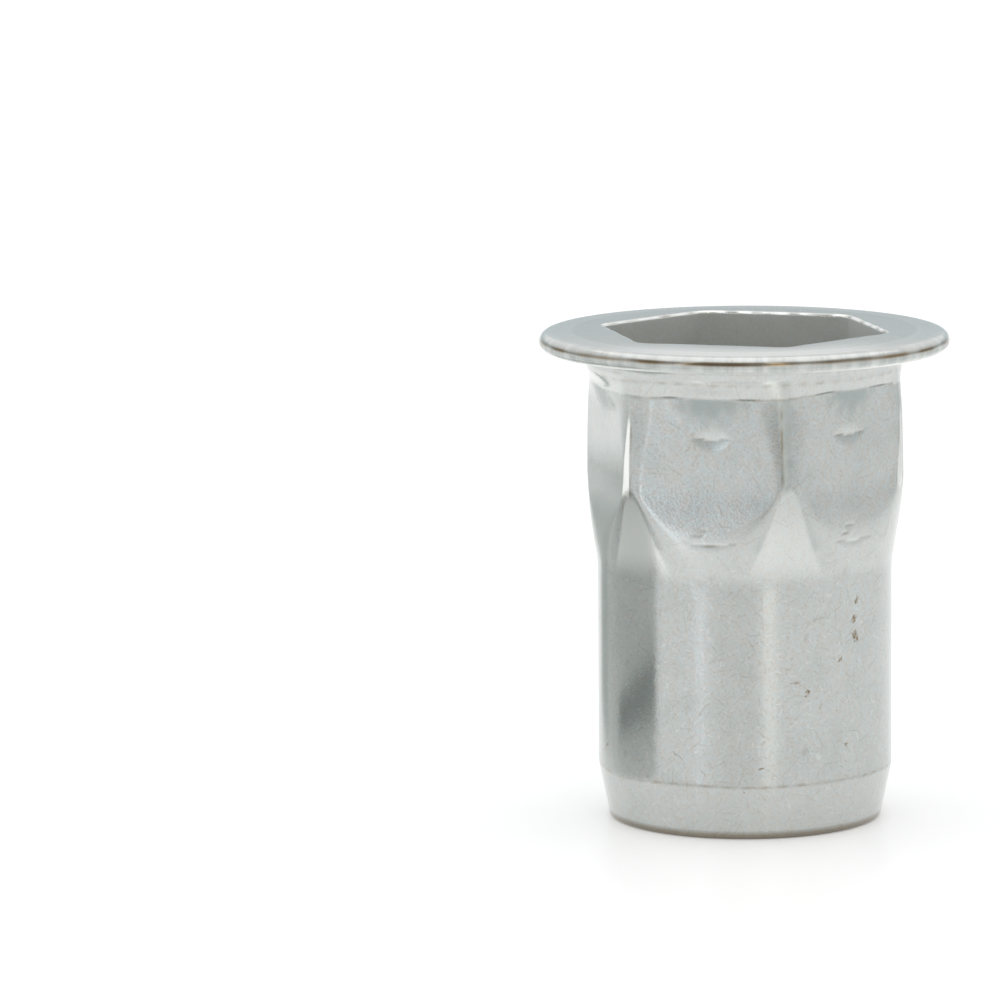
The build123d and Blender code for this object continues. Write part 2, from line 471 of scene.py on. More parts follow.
def corner_marks(n, azimuth, height, patchy):
    """Painted shade and highlight along the hexagon's corners: a brownish line of painted dark
    reflection just before each, painted shade about it that widens upwards and is also matt,
    and on some corners a painted highlight in a wedge inside a brownish outline, which widens
    downwards."""
    corner, past = past_corner(n, azimuth)
    # Brownish line of painted dark reflection just before each corner
    corner_dark_line = line(past, -0.24 * MM, 0.035 * MM) * between(height, 13.2, 13.5, 16.2, 16.5)
    soil_and_shade = CORNER_SHADE[corner] * corner_dark_line
    # Painted shade beside and about each corner, also matt
    beside = line(past, 0.05 * MM, 0.35 * MM) * between(height, 13.0, 13.4, 15.9, 16.4)
    wider = 1 + ramp(height, 13.3 * MM, 16.2 * MM)
    about = line(past, -0.09 * MM * wider, 0.12 * MM * wider)
    about = about * ramp(height, 12.9 * MM, 13.2 * MM)
    matt_and_shade = CORNER_SHADE[corner] * (0.3 * beside * patchy + 0.75 * about)

    # Painted highlight in a wedge down some corners, with a brownish outline
    below = 16.0 * MM - height
    away = np.abs(past + 0.1 * MM + 0.04 * below)
    width = 0.03 * MM + 0.055 * below
    wedge = between(height, 12.6, 12.75, 15.2, 15.9)
    outline = line(away, width + 0.05 * MM, 0.03 * MM) * wedge
    soil_and_shade = soil_and_shade + 0.4 * CORNER_HIGHLIGHT[corner] * outline
    rubbed = ramp(away, width + 0.03 * MM, width - 0.02 * MM) * wedge
    return soil_and_shade, matt_and_shade, CORNER_HIGHLIGHT[corner] * rubbed


def barrel_marks(n, azimuth, height):
    """Soil and painted light of the flare, the barrel and the foot: brownish lines about the tips
    of the flare's facets and at the foot's upper edge, painted shade on the ridge under the
    flats, which is also matt, and a painted highlight on the flare's facets and in a ring above
    the barrel, and a little on barrel and foot."""
    corner, past = past_corner(n, azimuth)
    from_flare = hexagon(azimuth, n.flat_radius, n.hex_corner) - flare_radius(n, azimuth, height)
    tip = line(from_flare, 0, 0.008 * MM) * ramp(np.abs(past), 0.9 * MM, 0.5 * MM)
    soil_and_shade = 0.35 * tip * ramp(height, n.flat_bottom, 12.0 * MM)
    sway = ripple(azimuth, 0 * height, BARREL_SWAY, n.barrel_radius, 4.5 * MM)
    soil_and_shade = soil_and_shade + 0.35 * line(height - 0.035 * MM * sway, n.foot_height, 0.05 * MM)
    # Painted shade on the ridge under the flats, also matt
    ridge = line(from_flare, 0, 0.08 * MM) * ramp(np.abs(past), 0.5 * MM, 1.1 * MM)
    matt_and_shade = 0.55 * ridge * ramp(height, n.flat_bottom, n.flat_bottom + 0.4 * MM)

    # Painted highlight on the flare's facets, in a ring above the barrel, and a little on barrel
    # and foot
    on_flare = ramp(from_flare, 0, 0.04 * MM) * ramp(height, n.barrel_top, n.flat_bottom)
    ring = ramp(height, n.barrel_top - 0.05 * MM, n.barrel_top + 0.5 * MM)
    ring = ring * ramp(height, 12.9 * MM, 10.9 * MM)
    painted_highlight = FLARE_HIGHLIGHT[corner] * on_flare + 0.2 * ring
    painted_highlight = painted_highlight + 0.08 * ramp(height, n.barrel_top + 0.4 * MM, n.barrel_top - 0.2 * MM)
    painted_highlight = painted_highlight + 0.14 * ramp(height, n.foot_height, n.foot_height - 0.1 * MM)
    return soil_and_shade, matt_and_shade, painted_highlight


def outside_marks(n, azimuth, height):
    """Soil and shade, matt and shade, and painted highlight of the outside: the sum of those of
    the die, the collar, the corners and the barrel, the soil and shade patchy, and the painted
    highlight on the corners at least as bright as corner_marks says."""
    patchy = ripple(azimuth, height, PATCHES, n.barrel_radius, 0.6 * MM)
    patchy = np.clip(0.65 + 0.5 * patchy, 0.25, 1.4)
    corners = corner_marks(n, azimuth, height, patchy)
    others = (
        die_marks(n, azimuth, height)[1:],
        collar_marks(n, azimuth, height, patchy),
        barrel_marks(n, azimuth, height),
    )
    soil_and_shade, matt_and_shade, painted_highlight = (sum(kind) for kind in zip(*others))
    soil_and_shade = np.clip((soil_and_shade + corners[0]) * patchy, 0, 1)
    matt_and_shade = np.clip(matt_and_shade + corners[1], 0, 1)
    return np.stack([soil_and_shade, matt_and_shade, np.maximum(painted_highlight, corners[2])], axis=-1)


def arc(centre_radius, centre_height, radius, start, end, count):
    """Points of a circle in the profile's plane, from one angle above level to another."""
    turn = np.radians(np.linspace(start, end, count))
    return centre_radius + radius * np.cos(turn), centre_height + radius * np.sin(turn)


def spaced(*stops):
    """Heights in millimetres: each stop gives where a stretch starts and its spacing, and
    the last stop ends the row."""
    parts = [
        np.arange(start, end - spacing / 2, spacing)
        for (start, spacing), (end, _) in zip(stops, stops[1:])
    ]
    return np.concatenate([*parts, [stops[-1][0]]]) * MM


def face_height(n, radius):
    """Height of the flange's face, which falls towards the rim as the power 1.5 of the
    distance from its level middle."""
    fall = np.maximum(radius - n.level_face, 0) / (n.rim_centre - n.level_face)
    return n.face - (n.face - n.crown_bottom) * fall**1.5


def lit_side(azimuth):
    """How far the flange's face gets a painted highlight at each azimuth, most on the camera's
    side.
    """
    return ramp(np.cos(azimuth - LIT_SIDE), 0.55, 0.97)


def rim_marks(n, azimuth, tilt):
    """Painted shade and highlight over the rim, by the tilt of its surface above level: a brownish
    line of painted dark reflection at 14 degrees, painted shade below it, which is also matt,
    a matt painted highlight where it faces down, and a painted highlight about the upper edge."""
    level = np.ones_like(azimuth)
    patchy = 1 + 0.45 * ripple(azimuth, level, RIM_PATCHES, n.flange_radius, 1.6 * MM)
    # Brownish painted dark reflection, painted shade below it, and painted highlight where the rim
    # faces down and about its upper edge
    under = ramp(tilt, -36, -56)
    soil_and_shade = 0.85 * line(tilt, 14, 13) * np.clip(patchy, 0.3, 1.25)
    matt_and_shade = np.maximum(0.75 * line(tilt, -14, 14), 0.8 * under)
    painted_highlight = 0.15 + 0.3 * line(tilt, 62, 25) + 0.85 * under
    return np.stack(np.broadcast_arrays(soil_and_shade, matt_and_shade, painted_highlight), axis=-1)


def outer_rings(n, azimuth):
    """Rings from the foot's flat end, up the outside and over the rim to the face: radii,
    heights and marks."""
    lean = -np.degrees(np.arctan(n.foot_slope))
    edge_centre = n.foot_radius + n.foot_edge * (n.foot_slope - np.hypot(1, n.foot_slope))
    edge_radius, edge_height = arc(edge_centre, n.foot_edge, n.foot_edge, -90, lean, 6)
    foot_radius = np.concatenate([[edge_radius[0] - 0.1 * MM], edge_radius])
    foot_height = np.concatenate([[0.0], edge_height])
    level = np.ones_like(azimuth)

    # The rows stand closer where the radius or the marks change fast
    wall_height = spaced(
        (0.35, 0.28), (1.75, 0.05), (2.3, 0.5), (9.0, 0.1), (9.9, 0.15), (10.5, 0.09),
        (12.2, 0.15), (13.1, 0.12), (14.4, 0.08), (15.3, 0.09), (16.2, 0.04), (16.68, 0.07),
        (17.15, 0.0),
    )[:, None]
    wall_radius = outside(n, azimuth[None, :], wall_height)

    neck_radius, neck_height = arc(
        n.collar_radius + n.neck, n.underside - n.neck, n.neck, 180, 90, 6
    )
    seat_radius = np.linspace(neck_radius[-1], n.rim_centre, 4)[1:-1]
    rim_start, rim_end, rim_rows = -90, 87, 20
    rim_radius, rim_height = arc(
        n.rim_centre, n.underside + n.rim, n.rim, rim_start, rim_end, rim_rows
    )
    crown_radius = np.linspace(n.rim_centre, n.crown_inner, 5)[1:]

    rows = (
        (foot_radius[:, None], foot_height[:, None]),
        (wall_radius, wall_height),
        (neck_radius[:, None], neck_height[:, None]),
        (seat_radius[:, None], np.full((len(seat_radius), 1), n.underside)),
        (rim_radius[:, None], rim_height[:, None]),
        (crown_radius[:, None], face_height(n, crown_radius)[:, None]),
    )
    radii = np.vstack([radius * level for radius, _ in rows])
    heights = np.vstack([height * level for _, height in rows])

    marks = np.zeros((*radii.shape, 3))
    wall = len(foot_radius)
    neck = wall + len(wall_height)
    crown = len(radii) - len(crown_radius)
    rim = crown - rim_rows
    # The foot's rounded bottom edge is darkened brown
    marks[1:wall, :, 0] = 0.62
    marks[wall:neck] = outside_marks(n, azimuth[None, :], wall_height)
    # Painted highlight on the neck and under the flange, lifting the shade there
    marks[neck:rim, :, 2] = 0.22
    tilt = np.linspace(rim_start, rim_end, rim_rows)[:, None]
    marks[rim:crown] = rim_marks(n, azimuth, tilt)
    # Painted highlight on the crown, most on the camera's side
    marks[crown:, :, 2] = 0.17 + 0.62 * lit_side(azimuth)
    return radii, heights, marks


# --------------------------------------------------------------------------- the inside


def socket_radius(n, azimuth, height):
    """Radius of the socket: the inner hexagon where it lies within the cone that its
    corners close on, and the cone elsewhere, down to the round bore."""
    cone = n.bore_radius + (height - n.socket_floor) * n.socket_flare
    prism = hexagon(azimuth, n.socket_flat, n.socket_corner)
    drag = ripple(azimuth, 0.35 * height, SOCKET_DRAG, n.socket_flat, 1.1 * MM)
    return round_min(prism + 0.0015 * MM * drag, cone, 0.06 * MM)


def inner_rings(n, azimuth):
    """Rings from the face in over the socket's mouth and down to the top of the thread:
    radii, heights and marks."""
    level = np.ones_like(azimuth)
    mouth = socket_radius(n, azimuth, np.full_like(azimuth, n.face))
    nick = 0.02 * MM * ripple(azimuth, 0 * azimuth, SOCKET_NICKS, n.socket_flat, 0.9 * MM)
    turned_in = np.radians(np.array([0, 30, 60, 90]))[:, None]
    land = mouth + n.edge_break + nick
    shares = np.array([0.0, 0.35, 0.7, 1.0])[:, None]
    face_radii = (n.crown_inner - 0.1 * MM) * (1 - shares) + (land + 0.04 * MM) * shares
    break_radii = land - n.edge_break * np.sin(turned_in) - nick * np.sin(turned_in)
    break_heights = face_height(n, land) - n.edge_break * (1 - np.cos(turned_in))

    depths = spaced(
        (n.shoulder_top / MM, 0.13), (n.socket_floor / MM + 0.2, 0.24), (18.1, 0.0)
    )[::-1, None]
    walls = socket_radius(n, azimuth[None, :], depths)
    walls = np.maximum(walls, n.bore_radius)

    slope = (n.bore_radius - n.mouth_radius) / (n.shoulder_top - n.thread_mouth)
    down = np.array([0.02, 0.1, 0.5, 0.93, 1.0])
    shoulder_height = n.shoulder_top - down * (n.shoulder_top - n.thread_mouth)
    shoulder_radius = n.mouth_radius + (shoulder_height - n.thread_mouth) * slope
    lead_height = n.thread_mouth - np.array([0.06, 0.5, 0.98]) * (n.thread_mouth - n.thread_top)
    lead_slope = (n.mouth_radius - n.thread_crest) / (n.thread_mouth - n.thread_top)
    lead_radius = n.thread_crest + (lead_height - n.thread_top) * lead_slope
    cone_radius = np.concatenate([shoulder_radius, lead_radius])[:, None] * level
    cone_height = np.concatenate([shoulder_height, lead_height])[:, None] * level

    radii = np.vstack([face_radii, break_radii, walls, cone_radius])
    heights = np.vstack(
        [face_height(n, face_radii), break_heights, depths * level, cone_height]
    )
    marks = np.zeros((*radii.shape, 3))
    edge = len(shares)
    wall = edge + len(turned_in) - 1
    uneven = ripple(azimuth, level, WORN_EDGE, n.socket_flat, 0.7 * MM)
    # Painted highlight on the face round the socket, most on the camera's side
    marks[: edge - 1, :, 2] = np.array((0.62, 0.42, 0.15))[:, None] * lit_side(azimuth)
    # Painted highlight on the socket's mouth
    marks[edge:wall, :, 2] = np.clip(0.8 + 0.35 * uneven, 0.3, 1.0)
    # Painted shade under the socket's mouth
    marks[wall - 1, :, 0] = np.clip(-0.6 * uneven, 0, 0.7)
    # Painted highlight on the socket's walls, lifting the shade inside
    marks[wall:, :, 2] = 0.52
    marks[wall:, :, 0] = INSIDE
    return radii, heights, marks


# Where the thread's form is sampled, in shares of the pitch down from a crest's middle
THREAD_SAMPLES = (0.0, 0.11, 0.17, 0.3, 0.42, 0.47, 0.53, 0.58, 0.7, 0.83, 0.89)


def thread_radius(n, azimuth, height):
    """Radius of the right-hand internal thread: the distance from the middle of the groove
    in height, less its flat root, falls away at 60 degrees until it meets the crest. The
    groove fades in over the first turn, and the countersink opens the last one."""
    share = ((n.thread_top - height) / n.pitch + azimuth / (2 * pi)) % 1
    gap = np.abs(share - 0.5) * n.pitch
    form = n.thread_root - (gap - n.pitch / 16) * tan(radians(60))
    form = round_min(form, np.full_like(form, n.thread_root), 0.10 * MM)
    form = round_max(form, np.full_like(form, n.thread_crest), 0.16 * MM)
    form = n.thread_crest + (form - n.thread_crest) * ramp(
        n.thread_top - height, 0.05 * n.pitch, 0.9 * n.pitch
    )
    return round_max(form, n.countersink - height, 0.02 * MM)


def thread_grid(n, azimuth):
    """Points of the thread, in rows that follow the helix: each row climbs one pitch in a
    turn, so its end is the row of one turn higher. Rows are cut off level at both ends."""
    samples = np.array(THREAD_SAMPLES)
    turns = int(np.ceil(n.thread_top / n.pitch)) + 1
    drop = (np.arange(turns + 1)[:, None] + samples).ravel() * n.pitch
    raw = n.thread_top - drop[:, None] + n.pitch * azimuth / (2 * pi)
    height = np.clip(raw, 0, n.thread_top)
    return thread_radius(n, azimuth, height), height, len(samples)


# ---------------------------------------------------------------------------- the mesh


def points(radius, azimuth, height):
    """Turn radius, azimuth and height into x, y and z, one row for each point."""
    azimuth = np.broadcast_to(azimuth, radius.shape)
    xyz = (radius * np.cos(azimuth), radius * np.sin(azimuth), height)
    return np.stack(xyz, axis=-1).reshape(-1, 3)


def band(ring, after):
    """Two triangles for each cell between two rings of as many points, facing outwards
    where the second ring follows the first along the profile."""
    a, b = ring, np.roll(ring, -1)
    c, d = np.roll(after, -1), after
    return np.concatenate([np.stack([a, b, c], -1), np.stack([a, c, d], -1)])


def fan(fine, coarse, coarse_first):
    """Three triangles for each step of a coarse ring that meets one twice as fine."""
    a, b, c = fine[0::2], fine[1::2], np.roll(fine[0::2], -1)
    d, e = coarse, np.roll(coarse, -1)
    sets = [np.stack([a, b, d], -1), np.stack([b, e, d], -1), np.stack([b, c, e], -1)]
    triangles = np.concatenate(sets)
    return triangles[:, ::-1] if coarse_first else triangles


def skin(n, columns):
    """Points, triangles and marks of the nut's whole skin: the outside, the inside with
    half as many columns, and the thread, joined ring to ring into one closed surface. The
    columns stand closer at the corners: azimuth = step - sin(6 step) / 12."""
    step = np.arange(columns) * 2 * pi / columns
    azimuth = step - np.sin(6 * step) / 12
    inner_azimuth = azimuth[::2]

    radii, heights, outer_marks = outer_rings(n, azimuth)
    outer_points = points(radii, azimuth, heights)
    outer = np.arange(radii.size).reshape(radii.shape)

    radii, heights, inner_marks = inner_rings(n, inner_azimuth)
    inner_points = points(radii, inner_azimuth, heights)
    inner = outer.size + np.arange(radii.size).reshape(radii.shape)

    radii, heights, rows_per_turn = thread_grid(n, inner_azimuth)
    thread_points = points(radii, inner_azimuth, heights)
    own = np.arange(radii.size).reshape(radii.shape)
    column = np.arange(radii.shape[1])
    last_at_top = np.sum(heights >= n.thread_top, axis=0) - 1
    first_at_foot = np.argmax(heights <= 0, axis=0)
    row = np.arange(radii.shape[0])[:, None]
    row = np.clip(row, np.maximum(last_at_top, 0), first_at_foot)
    thread = outer.size + inner.size + own[row, column]

    middle = (n.countersink + n.foot_radius) / 2 * np.ones_like(inner_azimuth)
    foot_points = points(middle, inner_azimuth, 0 * inner_azimuth)
    foot = outer.size + inner.size + own.size + np.arange(middle.size)

    right = np.roll(thread, -1, axis=1)
    right[:rows_per_turn, -1] = thread[0, 0]
    right[rows_per_turn:, -1] = thread[:-rows_per_turn, 0]
    a, b, c, d = thread[:-1], right[:-1], right[1:], thread[1:]
    helix = [np.stack([a, b, c], -1).reshape(-1, 3), np.stack([a, c, d], -1).reshape(-1, 3)]

    triangles = [fan(outer[0], foot, coarse_first=True)]
    triangles += [band(ring, after) for ring, after in zip(outer, outer[1:])]
    triangles += [fan(outer[-1], inner[0], coarse_first=False)]
    triangles += [band(ring, after) for ring, after in zip(inner, inner[1:])]
    triangles += [band(inner[-1], thread[0]), *helix, band(thread[-1], foot)]
    triangles = np.concatenate(triangles)
    a, b, c = triangles.T
    triangles = triangles[(a != b) & (b != c) & (c != a)]

    vertices = np.concatenate([outer_points, inner_points, thread_points, foot_points])
    marks = np.zeros_like(vertices)
    marks[: outer.size] = outer_marks.reshape(-1, 3)
    marks[outer.size : outer.size + inner.size] = inner_marks.reshape(-1, 3)
    marks[outer.size + inner.size : -foot.size, 0] = INSIDE
    used, triangles = np.unique(triangles, return_inverse=True)
    return vertices[used], triangles.reshape(-1, 3), marks[used]


def mesh_object(name, vertices, faces, marks=None):
    """Make a smooth-shaded mesh object from arrays of points and faces, with the marks as
    a vector on each point."""
    mesh = bpy.data.meshes.new(name)
    mesh.from_pydata(vertices.tolist(), [], faces.tolist())
    if marks is not None:
        held = mesh.attributes.new("marks", "FLOAT_VECTOR", "POINT")
        held.data.foreach_set("vector", marks.astype(np.float32).ravel())
    mesh.polygons.foreach_set("use_smooth", np.ones(len(mesh.polygons), bool))
    mesh.validate()
    made = bpy.data.objects.new(name, mesh)
    bpy.context.scene.collection.objects.link(made)
    return made


# ---------------------------------------------------------------------------- materials


def node(tree, kind, inputs=None, **settings):
    """Add a node. Settings are its own properties, and inputs are values, sockets or nodes,
    whose first live output is taken, by the name or number of the socket they go to."""
    made = tree.nodes.new(kind)
    for name, value in settings.items():
        setattr(made, name, value)
    for key, value in (inputs or {}).items():
        if isinstance(value, bpy.types.Node):
            value = next(output for output in value.outputs if output.enabled)
        if isinstance(value, bpy.types.NodeSocket):
            tree.links.new(value, made.inputs[key])
        else:
            made.inputs[key].default_value = value
    return made


def maths(tree, operation, *values):
    """Add a node that works one operation on numbers."""
    return node(tree, "ShaderNodeMath", dict(enumerate(values)), operation=operation)


def vector_maths(tree, operation, *values):
    """Add a node that works one operation on vectors."""
    return node(tree, "ShaderNodeVectorMath", dict(enumerate(values)), operation=operation)


def faded(tree, value, start, end, low=0.0, high=1.0, ease="LINEAR"):
    """Add a node that gives low where a value is at start, high where it is at end."""
    ends = {"From Min": start, "From Max": end, "To Min": low, "To Max": high}
    return node(tree, "ShaderNodeMapRange", {"Value": value, **ends}, interpolation_type=ease)


def noise(tree, where, size, detail=2.0):
    """Add soft noise whose spots have about the given size."""
    return node(tree, "ShaderNodeTexNoise", {"Vector": where, "Scale": 1 / size, "Detail": detail})


# Half the width of a hairline, drawn two or three times that of a real one, so that it shows
HAIR_WIDTH = 0.026 * MM

# Depth of the hairlines
HAIR_DEPTH = 0.00095 * MM


def hairlines(tree, where, cell, seed):
    """Short straight hairlines, one in each cell of a foam: a plane through the cell's
    centre at a random tilt cuts the surface in a line, which is kept near the centre."""
    moved = vector_maths(tree, "ADD", where, (seed * cell,) * 3)
    foam = node(tree, "ShaderNodeTexVoronoi", {"Vector": moved, "Scale": 1 / cell}).outputs
    from_centre = vector_maths(tree, "SUBTRACT", moved, foam["Position"])
    tilt = vector_maths(tree, "SUBTRACT", foam["Color"], (0.5, 0.5, 0.5))
    tilt = vector_maths(tree, "NORMALIZE", tilt)
    off_plane = maths(tree, "ABSOLUTE", vector_maths(tree, "DOT_PRODUCT", from_centre, tilt))
    on_plane = faded(tree, off_plane, 0.0, HAIR_WIDTH, 1.0, 0.0, "SMOOTHSTEP")
    near = faded(tree, foam["Distance"], 0.3, 0.55, 1.0, 0.0, "SMOOTHSTEP")
    return maths(tree, "MULTIPLY", on_plane, near)


def dent(tree, where, place, turn, size):
    """Dent or scratch about a point: one at its middle, nought at its ends and sides, where
    size gives its reach inwards, along and across, and turn its heading."""
    local = node(
        tree,
        "ShaderNodeMapping",
        {"Vector": where, "Location": place, "Rotation": turn, "Scale": size},
        vector_type="TEXTURE",
    )
    away = vector_maths(tree, "LENGTH", local)
    return faded(tree, away, 0.3, 1.0, 1.0, 0.0, "SMOOTHSTEP")


# How far the grain pushes the outlines of the dents about
DENT_WARP = 0.2 * MM

# Dents and scratches that tumbling left on the barrel and the foot: azimuth in degrees,
# height in millimetres, tilt in degrees, half length and half width in millimetres
DENTS = (
    (-27.3, 8.74, 70, 0.3, 0.2), (-28.6, 8.04, 60, 0.36, 0.24), (-27.8, 7.37, -70, 0.5, 0.3),
    (-36.0, 6.6, 50, 0.24, 0.1), (-56.0, 5.9, 0, 0.4, 0.06), (-51.0, 5.5, 50, 0.34, 0.16),
    (-102.2, 3.1, -36, 0.62, 0.05), (-92.4, 2.58, -42, 0.36, 0.04), (-69.5, 2.75, 25, 0.3, 0.06),
    (-76.4, 1.88, -30, 0.12, 0.07), (-33.0, 3.4, 30, 0.26, 0.07), (40.0, 6.2, 20, 0.2, 0.12),
    (-149.5, 1.45, 80, 0.62, 0.05), (112.0, 4.1, 65, 0.3, 0.14), (171.0, 7.9, -30, 0.5, 0.06),
    (215.0, 3.0, 10, 0.25, 0.1),
)


def soiled_dents(tree, where, grain, n):
    """How far dirt fills the dents, which are made ragged by the grain."""
    warp = (DENT_WARP,) * 3
    warped = vector_maths(tree, "MULTIPLY_ADD", grain.outputs["Color"], warp, where)
    dents = None
    for azimuth, height, tilt, long, wide in DENTS:
        turn = radians(azimuth)
        radius = min(n.barrel_radius, n.foot_radius + height * MM * n.foot_slope)
        place = (radius * cos(turn), radius * sin(turn), height * MM)
        place = [along + DENT_WARP / 2 for along in place]
        size = (0.3 * MM, long * MM, wide * MM)
        made = dent(tree, warped, place, (radians(tilt), 0, turn), size)
        dents = made if dents is None else maths(tree, "MAXIMUM", dents, made)
    ragged = maths(tree, "MULTIPLY", dents, grain)
    return faded(tree, ragged, 0.32, 0.6, 0.0, 0.9)


def streaked_rim(tree, where, finish, n):
    """One on the rim and nought off it, and how bright the streaks across it are, which
    follow noise on the heading from the axis alone."""
    level = vector_maths(tree, "MULTIPLY", where, (1, 1, 0))
    from_axis = vector_maths(tree, "LENGTH", level)
    around = vector_maths(tree, "NORMALIZE", level)
    streaks = noise(tree, around, finish.streak / n.flange_radius, 3.0)
    rim = faded(tree, from_axis, n.rim_centre - 0.3 * MM, n.rim_centre + 0.1 * MM)
    bright = faded(tree, streaks, 0.42, 0.66, 0.0, 0.35)
    return rim, maths(tree, "MULTIPLY", bright, rim)


def plated_zinc(finish, n):
    """Bright zinc over cold-formed steel, tumbled in bulk with other nuts. To the eye it is
    a light, faintly green grey metal with a soft sheen, finely grained and covered in hair
    scratches that run every way, matt where the die's edge pressed it, and brownish in the
    creases. Shade and highlights are painted into its colour: darker in the die's bowls and
    about the corners, brownish lines of painted shade and reflection under the collar, beside
    the corners and on the rim, and lighter on some corners, the flare, the rim, the face and
    the socket."""
    material = bpy.data.materials.new("plated_zinc")
    material.use_nodes = True
    tree = material.node_tree
    tree.nodes.clear()
    where = node(tree, "ShaderNodeTexCoord").outputs["Object"]
    marks = node(tree, "ShaderNodeAttribute", attribute_name="marks").outputs["Vector"]
    # The marks hold soil with painted shade, painted shade that is also matt, and painted highlight
    soil_and_shade, matt_and_shade, painted_highlight_share = node(tree, "ShaderNodeSeparateXYZ", {"Vector": marks}).outputs
    inside = maths(tree, "LESS_THAN", soil_and_shade, INSIDE / 2)

    # The grain and the warm spots are about as coarse as the plating's own, and the clouds
    # are the tumbling's
    grain = noise(tree, where, finish.grain, 3.0)
    warm = faded(tree, noise(tree, where, 0.25 * MM), 0.4, 0.66, 0.0, 0.8)
    cloudy = faded(tree, noise(tree, where, 1.4 * MM), 0.45, 0.75, 0.0, 0.25)
    grainy = faded(tree, grain, 0.5, 0.75, 0.0, 0.26)

    # The die has ironed the flats, so that they are less scratched than the barrel
    up = node(tree, "ShaderNodeSeparateXYZ", {"Vector": where}).outputs["Z"]
    wear = faded(tree, up, n.barrel_top + 0.2 * MM, n.flat_bottom + 1.3 * MM, 1.0, 0.6)
    raised, cut = (
        maths(tree, "MULTIPLY", hairlines(tree, where, cell, seed), wear)
        for cell, seed in ((finish.scratch, 1.3), (1.3 * finish.scratch, 5.1))
    )
    fresh = hairlines(tree, where, 2.8 * finish.scratch, 8.7)
    cut_tint, raised_tint, fresh_tint = (
        maths(tree, "MULTIPLY", lines, strength)
        for lines, strength in ((cut, 0.22), (raised, 0.17), (fresh, 0.25))
    )

    rim, streaky = streaked_rim(tree, where, finish, n)
    base = finish.zinc
    for share_of, over in (
        (warm, finish.warm_zinc),
        (cloudy, finish.matt_and_shade_zinc),
        (grainy, finish.soil_and_shade),
        (cut_tint, finish.soil_and_shade),
        (raised_tint, finish.burnished_and_highlight),
        (fresh_tint, finish.soil_and_shade),
        # From here on the marks paint shade and highlight into the colour, with the rim's streaks,
        # soil, and dirt in the dents
        (matt_and_shade, finish.matt_and_shade_zinc),
        (painted_highlight_share, finish.burnished_and_highlight),
        (streaky, finish.burnished_and_highlight),
        (soil_and_shade, finish.soil_and_shade),
        (soiled_dents(tree, where, grain, n), finish.soil_and_shade),
    ):
        base = node(tree, "ShaderNodeMix", {"Factor": share_of, 6: base, 7: over}, data_type="RGBA")

    rough = finish.roughness
    for share_of, over in (
        (painted_highlight_share, finish.rim_roughness),
        (rim, finish.rim_roughness),
        (matt_and_shade, finish.dull_roughness),
        (inside, finish.socket_roughness),
    ):
        rough = node(tree, "ShaderNodeMix", {"Factor": share_of, "A": rough, "B": over})

    # The grain is a few times as high as the hairlines, and the rim is rubbed smoother
    height = maths(tree, "MULTIPLY_ADD", grain, 3.4, maths(tree, "SUBTRACT", raised, cut))
    depth = maths(tree, "MULTIPLY_ADD", rim, -0.8, 1.0)
    bump = node(
        tree, "ShaderNodeBump", {"Height": height, "Distance": HAIR_DEPTH, "Strength": depth}
    )
    shader = node(
        tree,
        "ShaderNodeBsdfPrincipled",
        {
            "Base Color": base,
            "Metallic": 1.0,
            "Roughness": rough,
            "Anisotropic": 0.6,
            "Anisotropic Rotation": 0.25,
            "Tangent": node(tree, "ShaderNodeTangent", direction_type="RADIAL", axis="Z"),
            "Normal": bump,
        },
    )
    node(tree, "ShaderNodeOutputMaterial", {"Surface": shader})
    return material


# -------------------------------------------------------------------------- the studio


# How far the floor reaches from the nut to each side
FLOOR_REACH = 3.0


def seen_ray(tree):
    """One for the camera's rays and for those that metal and glass mirror or bend."""
    rays = node(tree, "ShaderNodeLightPath").outputs
    seen = maths(tree, "MAXIMUM", rays["Is Camera Ray"], rays["Is Glossy Ray"])
    return maths(tree, "MAXIMUM", seen, rays["Is Transmission Ray"])


def white_floor(studio):
    """Seamless white paper under the nut, lifted a little for the eye, so that only the
    nut's shadow shows on it."""
    material = bpy.data.materials.new("white_floor")
    material.use_nodes = True
    tree = material.node_tree
    tree.nodes.clear()
    paper = node(
        tree,
        "ShaderNodeBsdfPrincipled",
        {"Base Color": studio.floor, "Roughness": 0.3, "Specular IOR Level": 0.1},
    )
    lifted = maths(tree, "MULTIPLY", seen_ray(tree), studio.lift)
    glow = node(tree, "ShaderNodeEmission", {"Color": studio.floor, "Strength": lifted})
    both = node(tree, "ShaderNodeAddShader", {0: paper, 1: glow})
    node(tree, "ShaderNodeOutputMaterial", {"Surface": both})
    corners = FLOOR_REACH * np.array([(-1, -1, 0), (1, -1, 0), (1, 1, 0), (-1, 1, 0)])
    floor = mesh_object("floor", corners, np.array([(0, 1, 2, 3)]))
    floor.data.materials.append(material)


# Cards that only the metal sees: colour, and corners to the camera's right, towards it and
# up, in millimetres
CARDS = (
    (
        "near_card",
        "#fbfdfc",
        ((-13, 6.7, 0), (-14.5, -9, 0), (-14.5, -9, 11.1), (-13, 6.7, 11.6)),
    ),
    (
        "far_card",
        "#d3dad7",
        ((-14.5, -9, 0), (-16, -22, 0), (-16, -22, 10.3), (-14.5, -9, 11.1)),
    ),
    # The third card is a painted shadow: a dark low strip, seen only in the metal, that stands for
    # shade on the floor beside the nut
    (
        "dark_card",
        "#a6adab",
        ((-12.8, 6.7, 2.9), (-15, -12, 0), (-15, -12, 0.7), (-12.8, 6.7, 5.2)),
    ),
)


